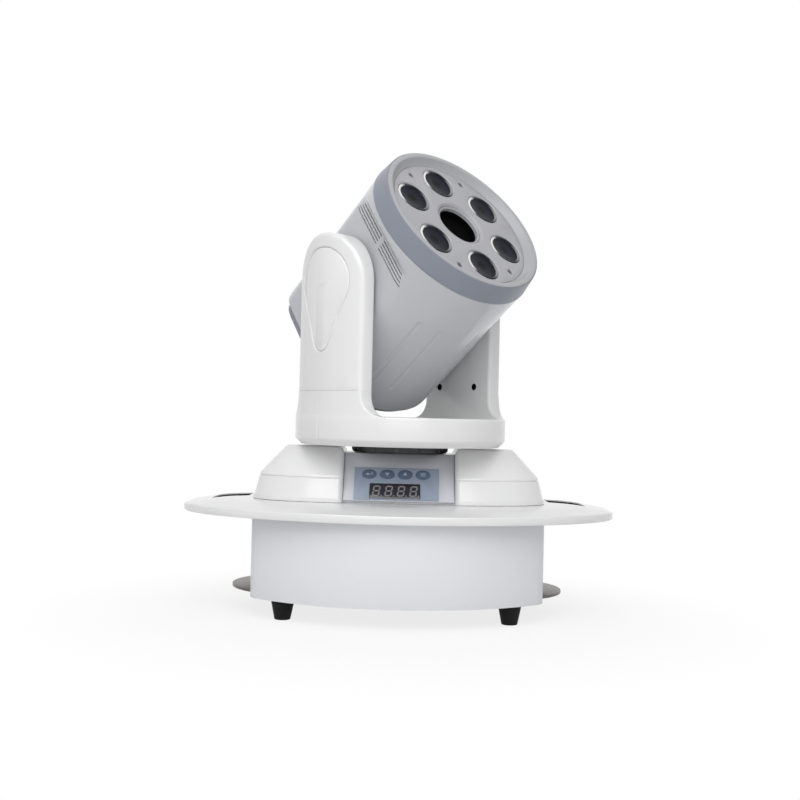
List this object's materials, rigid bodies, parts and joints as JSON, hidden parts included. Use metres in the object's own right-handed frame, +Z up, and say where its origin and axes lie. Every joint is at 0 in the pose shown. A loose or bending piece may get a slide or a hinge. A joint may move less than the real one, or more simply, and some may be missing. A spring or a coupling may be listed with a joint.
{
  "type": "moving head stage light",
  "caption": "Moving head stage light: winged base with a sloped control panel, a U-shaped yoke that pans and a round head with a ring of lenses that tilts.",
  "frame": {"origin": "on the pan axis, at the underside of the base plate", "axes": "+Z up along the pan axis, -Y towards the side with the control panel, +X to the right as seen from that side"},
  "size_m": [0.449, 0.2781, 0.473],
  "materials": {
    "white_plastic": "gloss white moulding",
    "white_painted_metal": "satin white paint on sheet steel",
    "steel": "bare sheet steel",
    "panel_grey": "satin grey",
    "overlay_film": "printed membrane film",
    "button_film": "satin",
    "black_plastic": "satin black",
    "rubber": "matt black",
    "aluminium": "plain",
    "circuit_board": "solder mask",
    "motor_metal": "black",
    "band_grey": "satin blue-grey",
    "face_grey": "satin grey",
    "lens": "polished"
  },
  "bodies": {
    "base": {"base_box": "white_painted_metal", "base_plate": "steel", "wing_plate": "white_plastic", "base_cover": "white_plastic", "control_panel": "panel_grey", "panel_overlay": "overlay_film", "display_module": "black_plastic", "foot_front_left": "rubber", "foot_front_right": "rubber", "foot_rear_left": "rubber", "foot_rear_right": "rubber", "power_inlet": "black_plastic", "dmx_in": "black_plastic", "dmx_out": "black_plastic", "power_supply": "aluminium", "control_board": "circuit_board", "pan_bracket": "steel", "pan_bearing": "steel", "pan_motor": "motor_metal", "pan_belt": "rubber"},
    "menu_key": {"button_menu": "button_film"},
    "down_key": {"button_down": "button_film"},
    "up_key": {"button_up": "button_film"},
    "enter_key": {"button_enter": "button_film"},
    "pan_drive": {"pan_drive_pulley": "aluminium"},
    "yoke": {"pan_disc": "black_plastic", "pan_shaft": "steel", "pan_pulley": "aluminium", "yoke_base_front": "white_plastic", "yoke_base_rear": "white_plastic", "yoke_frame": "steel", "left_arm": "white_plastic", "right_arm": "white_plastic", "left_arm_cap": "white_plastic", "right_arm_cap": "white_plastic", "left_tilt_bearing": "steel", "right_tilt_bearing": "steel", "tilt_motor": "motor_metal", "tilt_belt": "rubber"},
    "tilt_drive": {"tilt_drive_pulley": "aluminium"},
    "head": {"head_barrel": "white_plastic", "front_ring": "band_grey", "face_plate": "face_grey", "lens_1": "lens", "lens_2": "lens", "lens_3": "lens", "lens_4": "lens", "lens_5": "lens", "lens_6": "lens", "aperture_tube": "black_plastic", "led_board": "aluminium", "heat_sink": "aluminium", "fan_frame": "black_plastic", "rear_grille": "band_grey", "left_axle": "steel", "right_axle": "steel", "tilt_pulley": "aluminium"},
    "fan": {"fan_rotor": "black_plastic"}
  },
  "joints": [
    {"name": "pan", "type": "hinge", "parent": "base", "child": "yoke", "pos_m": [0, 0, 0.15], "axis": [0, 0, 1], "range_deg": [-270, 270]},
    {"name": "tilt", "type": "hinge", "parent": "yoke", "child": "head", "pos_m": [0, 0, 0.3112], "axis": [-0.749, -0.6626, 0], "range_deg": [-57.3, 162.7]},
    {"name": "pan_motor_spin", "type": "hinge", "parent": "base", "child": "pan_drive", "pos_m": [0.062, 0, 0.12], "axis": [0, 0, 1], "range_deg": [-1085, 1085]},
    {"name": "tilt_motor_spin", "type": "hinge", "parent": "yoke", "child": "tilt_drive", "pos_m": [0, 0, 0.245], "axis": [-0.749, -0.6626, 0], "range_deg": [-175, 495]},
    {"name": "fan_spin", "type": "hinge", "parent": "head", "child": "fan", "pos_m": [0, 0, 0.3112], "axis": [0.5271, -0.5958, 0.606], "continuous": true},
    {"name": "press_menu", "type": "slide", "parent": "base", "child": "menu_key", "axis": [0, 0.8192, -0.5736], "range_m": [0, 0.0008], "stiffness_N_per_m": 500, "springref_m": -0.001},
    {"name": "press_down", "type": "slide", "parent": "base", "child": "down_key", "axis": [0, 0.8192, -0.5736], "range_m": [0, 0.0008], "stiffness_N_per_m": 500, "springref_m": -0.001},
    {"name": "press_up", "type": "slide", "parent": "base", "child": "up_key", "axis": [0, 0.8192, -0.5736], "range_m": [0, 0.0008], "stiffness_N_per_m": 500, "springref_m": -0.001},
    {"name": "press_enter", "type": "slide", "parent": "base", "child": "enter_key", "axis": [0, 0.8192, -0.5736], "range_m": [0, 0.0008], "stiffness_N_per_m": 500, "springref_m": -0.001}
  ],
  "couplings": [
    {"joint": "pan_motor_spin", "follows": "pan", "ratio": 4},
    {"joint": "tilt_motor_spin", "follows": "tilt", "ratio": 3}
  ]
}
